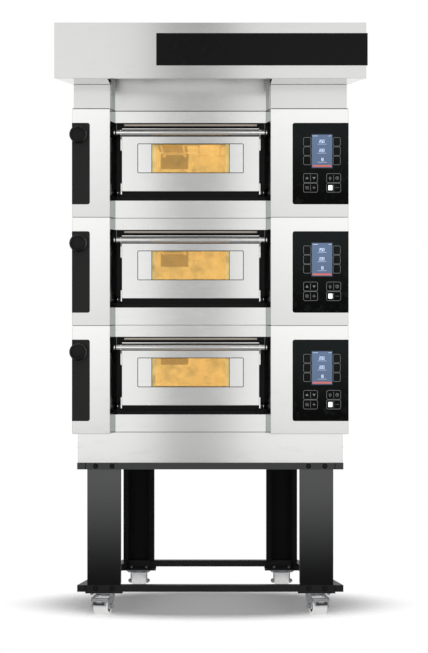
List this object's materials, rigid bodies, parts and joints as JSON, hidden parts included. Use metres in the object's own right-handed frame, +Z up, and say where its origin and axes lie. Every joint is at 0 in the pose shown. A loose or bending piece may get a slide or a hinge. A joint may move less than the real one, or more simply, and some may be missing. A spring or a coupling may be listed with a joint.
{
  "type": "deck oven",
  "caption": "Stacked electric baking ovens with drop-down glazed doors, side controls, an overhanging extraction hood and a tubular stand on swivel casters.",
  "frame": {"origin": "on the floor, under the middle of the overall width and depth", "axes": "+X to the right of a person facing the doors, +Y to the back, +Z up"},
  "size_m": [1.1257, 1.209, 2.2363],
  "materials": {
    "steel": "fine brushed stainless sheet",
    "handle_steel": "polished stainless bar",
    "chamber_steel": "heat-tinted stainless sheet",
    "dark_enamel": "black vitreous enamel",
    "door_cassette": "aluminised sheet cassette",
    "door_glass": "clear heat-proof glass with a warm tint",
    "black_panel": "glossy black overlay panel",
    "black_plastic": "satin black moulding",
    "electric_plastic": "boards, relays and fan frames",
    "stand_paint": "dark grey powder coat",
    "zinc": "bright zinc plate",
    "wheel_nylon": "white cast nylon",
    "stone": "smooth refractory slab",
    "element": "dark oxidised sheath",
    "lamp": "frosted lamp cover",
    "wool": "mineral-wool slab"
  },
  "bodies": {
    "oven": {"baking_stones": "stone", "cable_glands": "black_plastic", "caster_plates": "zinc", "chambers": "chamber_steel", "column_covers": "steel", "control_panels": "black_panel", "deck_1_casing": "steel", "deck_2_casing": "steel", "deck_3_casing": "steel", "electrics": "electric_plastic", "fascia_panels": "steel", "flue_collar": "steel", "foot_plates": "stand_paint", "grease_filter": "steel", "heating_elements": "element", "hinge_brackets": "dark_enamel", "hood_band": "black_panel", "hood_shell": "steel", "insulation": "wool", "mouth_frames": "dark_enamel", "oven_lamps": "lamp", "plinth": "steel", "rear_duct": "steel", "riser": "steel", "stand_bolts": "stand_paint", "stand_frames": "stand_paint", "stand_legs": "stand_paint", "steam_pipes": "chamber_steel", "vent_panels": "black_panel"},
    "door_1": {"door_1_skin": "steel", "door_1_liner": "door_cassette", "door_1_glass": "door_glass", "door_1_handle": "handle_steel"},
    "door_2": {"door_2_skin": "steel", "door_2_liner": "door_cassette", "door_2_glass": "door_glass", "door_2_handle": "handle_steel"},
    "door_3": {"door_3_skin": "steel", "door_3_liner": "door_cassette", "door_3_glass": "door_glass", "door_3_handle": "handle_steel"},
    "vent_1": {"vent_1_knob": "black_plastic", "vent_1_rod": "handle_steel"},
    "vent_2": {"vent_2_knob": "black_plastic", "vent_2_rod": "handle_steel"},
    "vent_3": {"vent_3_knob": "black_plastic", "vent_3_rod": "handle_steel"},
    "fan_1": {"cooling_fan_1": "black_plastic"},
    "fan_2": {"cooling_fan_2": "black_plastic"},
    "fan_3": {"cooling_fan_3": "black_plastic"},
    "swivel_front_left": {"caster_front_left_fork": "zinc"},
    "wheel_front_left": {"caster_front_left_wheel": "wheel_nylon"},
    "brake_front_left": {"caster_front_left_brake": "zinc"},
    "swivel_front_right": {"caster_front_right_fork": "zinc"},
    "wheel_front_right": {"caster_front_right_wheel": "wheel_nylon"},
    "brake_front_right": {"caster_front_right_brake": "zinc"},
    "swivel_rear_left": {"caster_rear_left_fork": "zinc"},
    "wheel_rear_left": {"caster_rear_left_wheel": "wheel_nylon"},
    "swivel_rear_right": {"caster_rear_right_fork": "zinc"},
    "wheel_rear_right": {"caster_rear_right_wheel": "wheel_nylon"}
  },
  "joints": [
    {"name": "door_1_hinge", "type": "hinge", "parent": "oven", "child": "door_1", "pos_m": [-0.07375, -0.2635, 0.7783], "axis": [1, 0, 0], "range_deg": [0, 90], "stiffness_Nm_per_rad": 4, "springref_deg": -34.38},
    {"name": "door_2_hinge", "type": "hinge", "parent": "oven", "child": "door_2", "pos_m": [-0.07375, -0.2635, 1.1783], "axis": [1, 0, 0], "range_deg": [0, 90], "stiffness_Nm_per_rad": 4, "springref_deg": -34.38},
    {"name": "door_3_hinge", "type": "hinge", "parent": "oven", "child": "door_3", "pos_m": [-0.07375, -0.2635, 1.5783], "axis": [1, 0, 0], "range_deg": [0, 90], "stiffness_Nm_per_rad": 4, "springref_deg": -34.38},
    {"name": "vent_1_pull", "type": "slide", "parent": "oven", "child": "vent_1", "axis": [0, -1, 0], "range_m": [0, 0.06]},
    {"name": "vent_2_pull", "type": "slide", "parent": "oven", "child": "vent_2", "axis": [0, -1, 0], "range_m": [0, 0.06]},
    {"name": "vent_3_pull", "type": "slide", "parent": "oven", "child": "vent_3", "axis": [0, -1, 0], "range_m": [0, 0.06]},
    {"name": "fan_1_spin", "type": "hinge", "parent": "oven", "child": "fan_1", "pos_m": [0.366, 0.5255, 0.8823], "axis": [0, 1, 0], "continuous": true},
    {"name": "fan_2_spin", "type": "hinge", "parent": "oven", "child": "fan_2", "pos_m": [0.366, 0.5255, 1.2823], "axis": [0, 1, 0], "continuous": true},
    {"name": "fan_3_spin", "type": "hinge", "parent": "oven", "child": "fan_3", "pos_m": [0.366, 0.5255, 1.6823], "axis": [0, 1, 0], "continuous": true},
    {"name": "swivel_front_left_turn", "type": "hinge", "parent": "oven", "child": "swivel_front_left", "pos_m": [-0.3965, -0.2545, 0.0803], "axis": [0, 0, 1], "continuous": true},
    {"name": "wheel_front_left_spin", "type": "hinge", "parent": "swivel_front_left", "child": "wheel_front_left", "pos_m": [-0.40271, -0.27768, 0.033], "axis": [0.9659, -0.2588, 0], "continuous": true},
    {"name": "brake_front_left_press", "type": "hinge", "parent": "swivel_front_left", "child": "brake_front_left", "pos_m": [-0.41074, -0.30763, 0.06], "axis": [0.9659, -0.2588, 0], "range_deg": [0, 14]},
    {"name": "swivel_front_right_turn", "type": "hinge", "parent": "oven", "child": "swivel_front_right", "pos_m": [0.3965, -0.2545, 0.0803], "axis": [0, 0, 1], "continuous": true},
    {"name": "wheel_front_right_spin", "type": "hinge", "parent": "swivel_front_right", "child": "wheel_front_right", "pos_m": [0.40271, -0.27768, 0.033], "axis": [0.9659, 0.2588, 0], "continuous": true},
    {"name": "brake_front_right_press", "type": "hinge", "parent": "swivel_front_right", "child": "brake_front_right", "pos_m": [0.41074, -0.30763, 0.06], "axis": [0.9659, 0.2588, 0], "range_deg": [0, 14]},
    {"name": "swivel_rear_left_turn", "type": "hinge", "parent": "oven", "child": "swivel_rear_left", "pos_m": [-0.2895, 0.4035, 0.0803], "axis": [0, 0, 1], "continuous": true},
    {"name": "wheel_rear_left_spin", "type": "hinge", "parent": "swivel_rear_left", "child": "wheel_rear_left", "pos_m": [-0.2895, 0.4275, 0.033], "axis": [-1, 0, 0], "continuous": true},
    {"name": "swivel_rear_right_turn", "type": "hinge", "parent": "oven", "child": "swivel_rear_right", "pos_m": [0.2895, 0.4035, 0.0803], "axis": [0, 0, 1], "continuous": true},
    {"name": "wheel_rear_right_spin", "type": "hinge", "parent": "swivel_rear_right", "child": "wheel_rear_right", "pos_m": [0.2895, 0.4275, 0.033], "axis": [-1, 0, 0], "continuous": true}
  ]
}
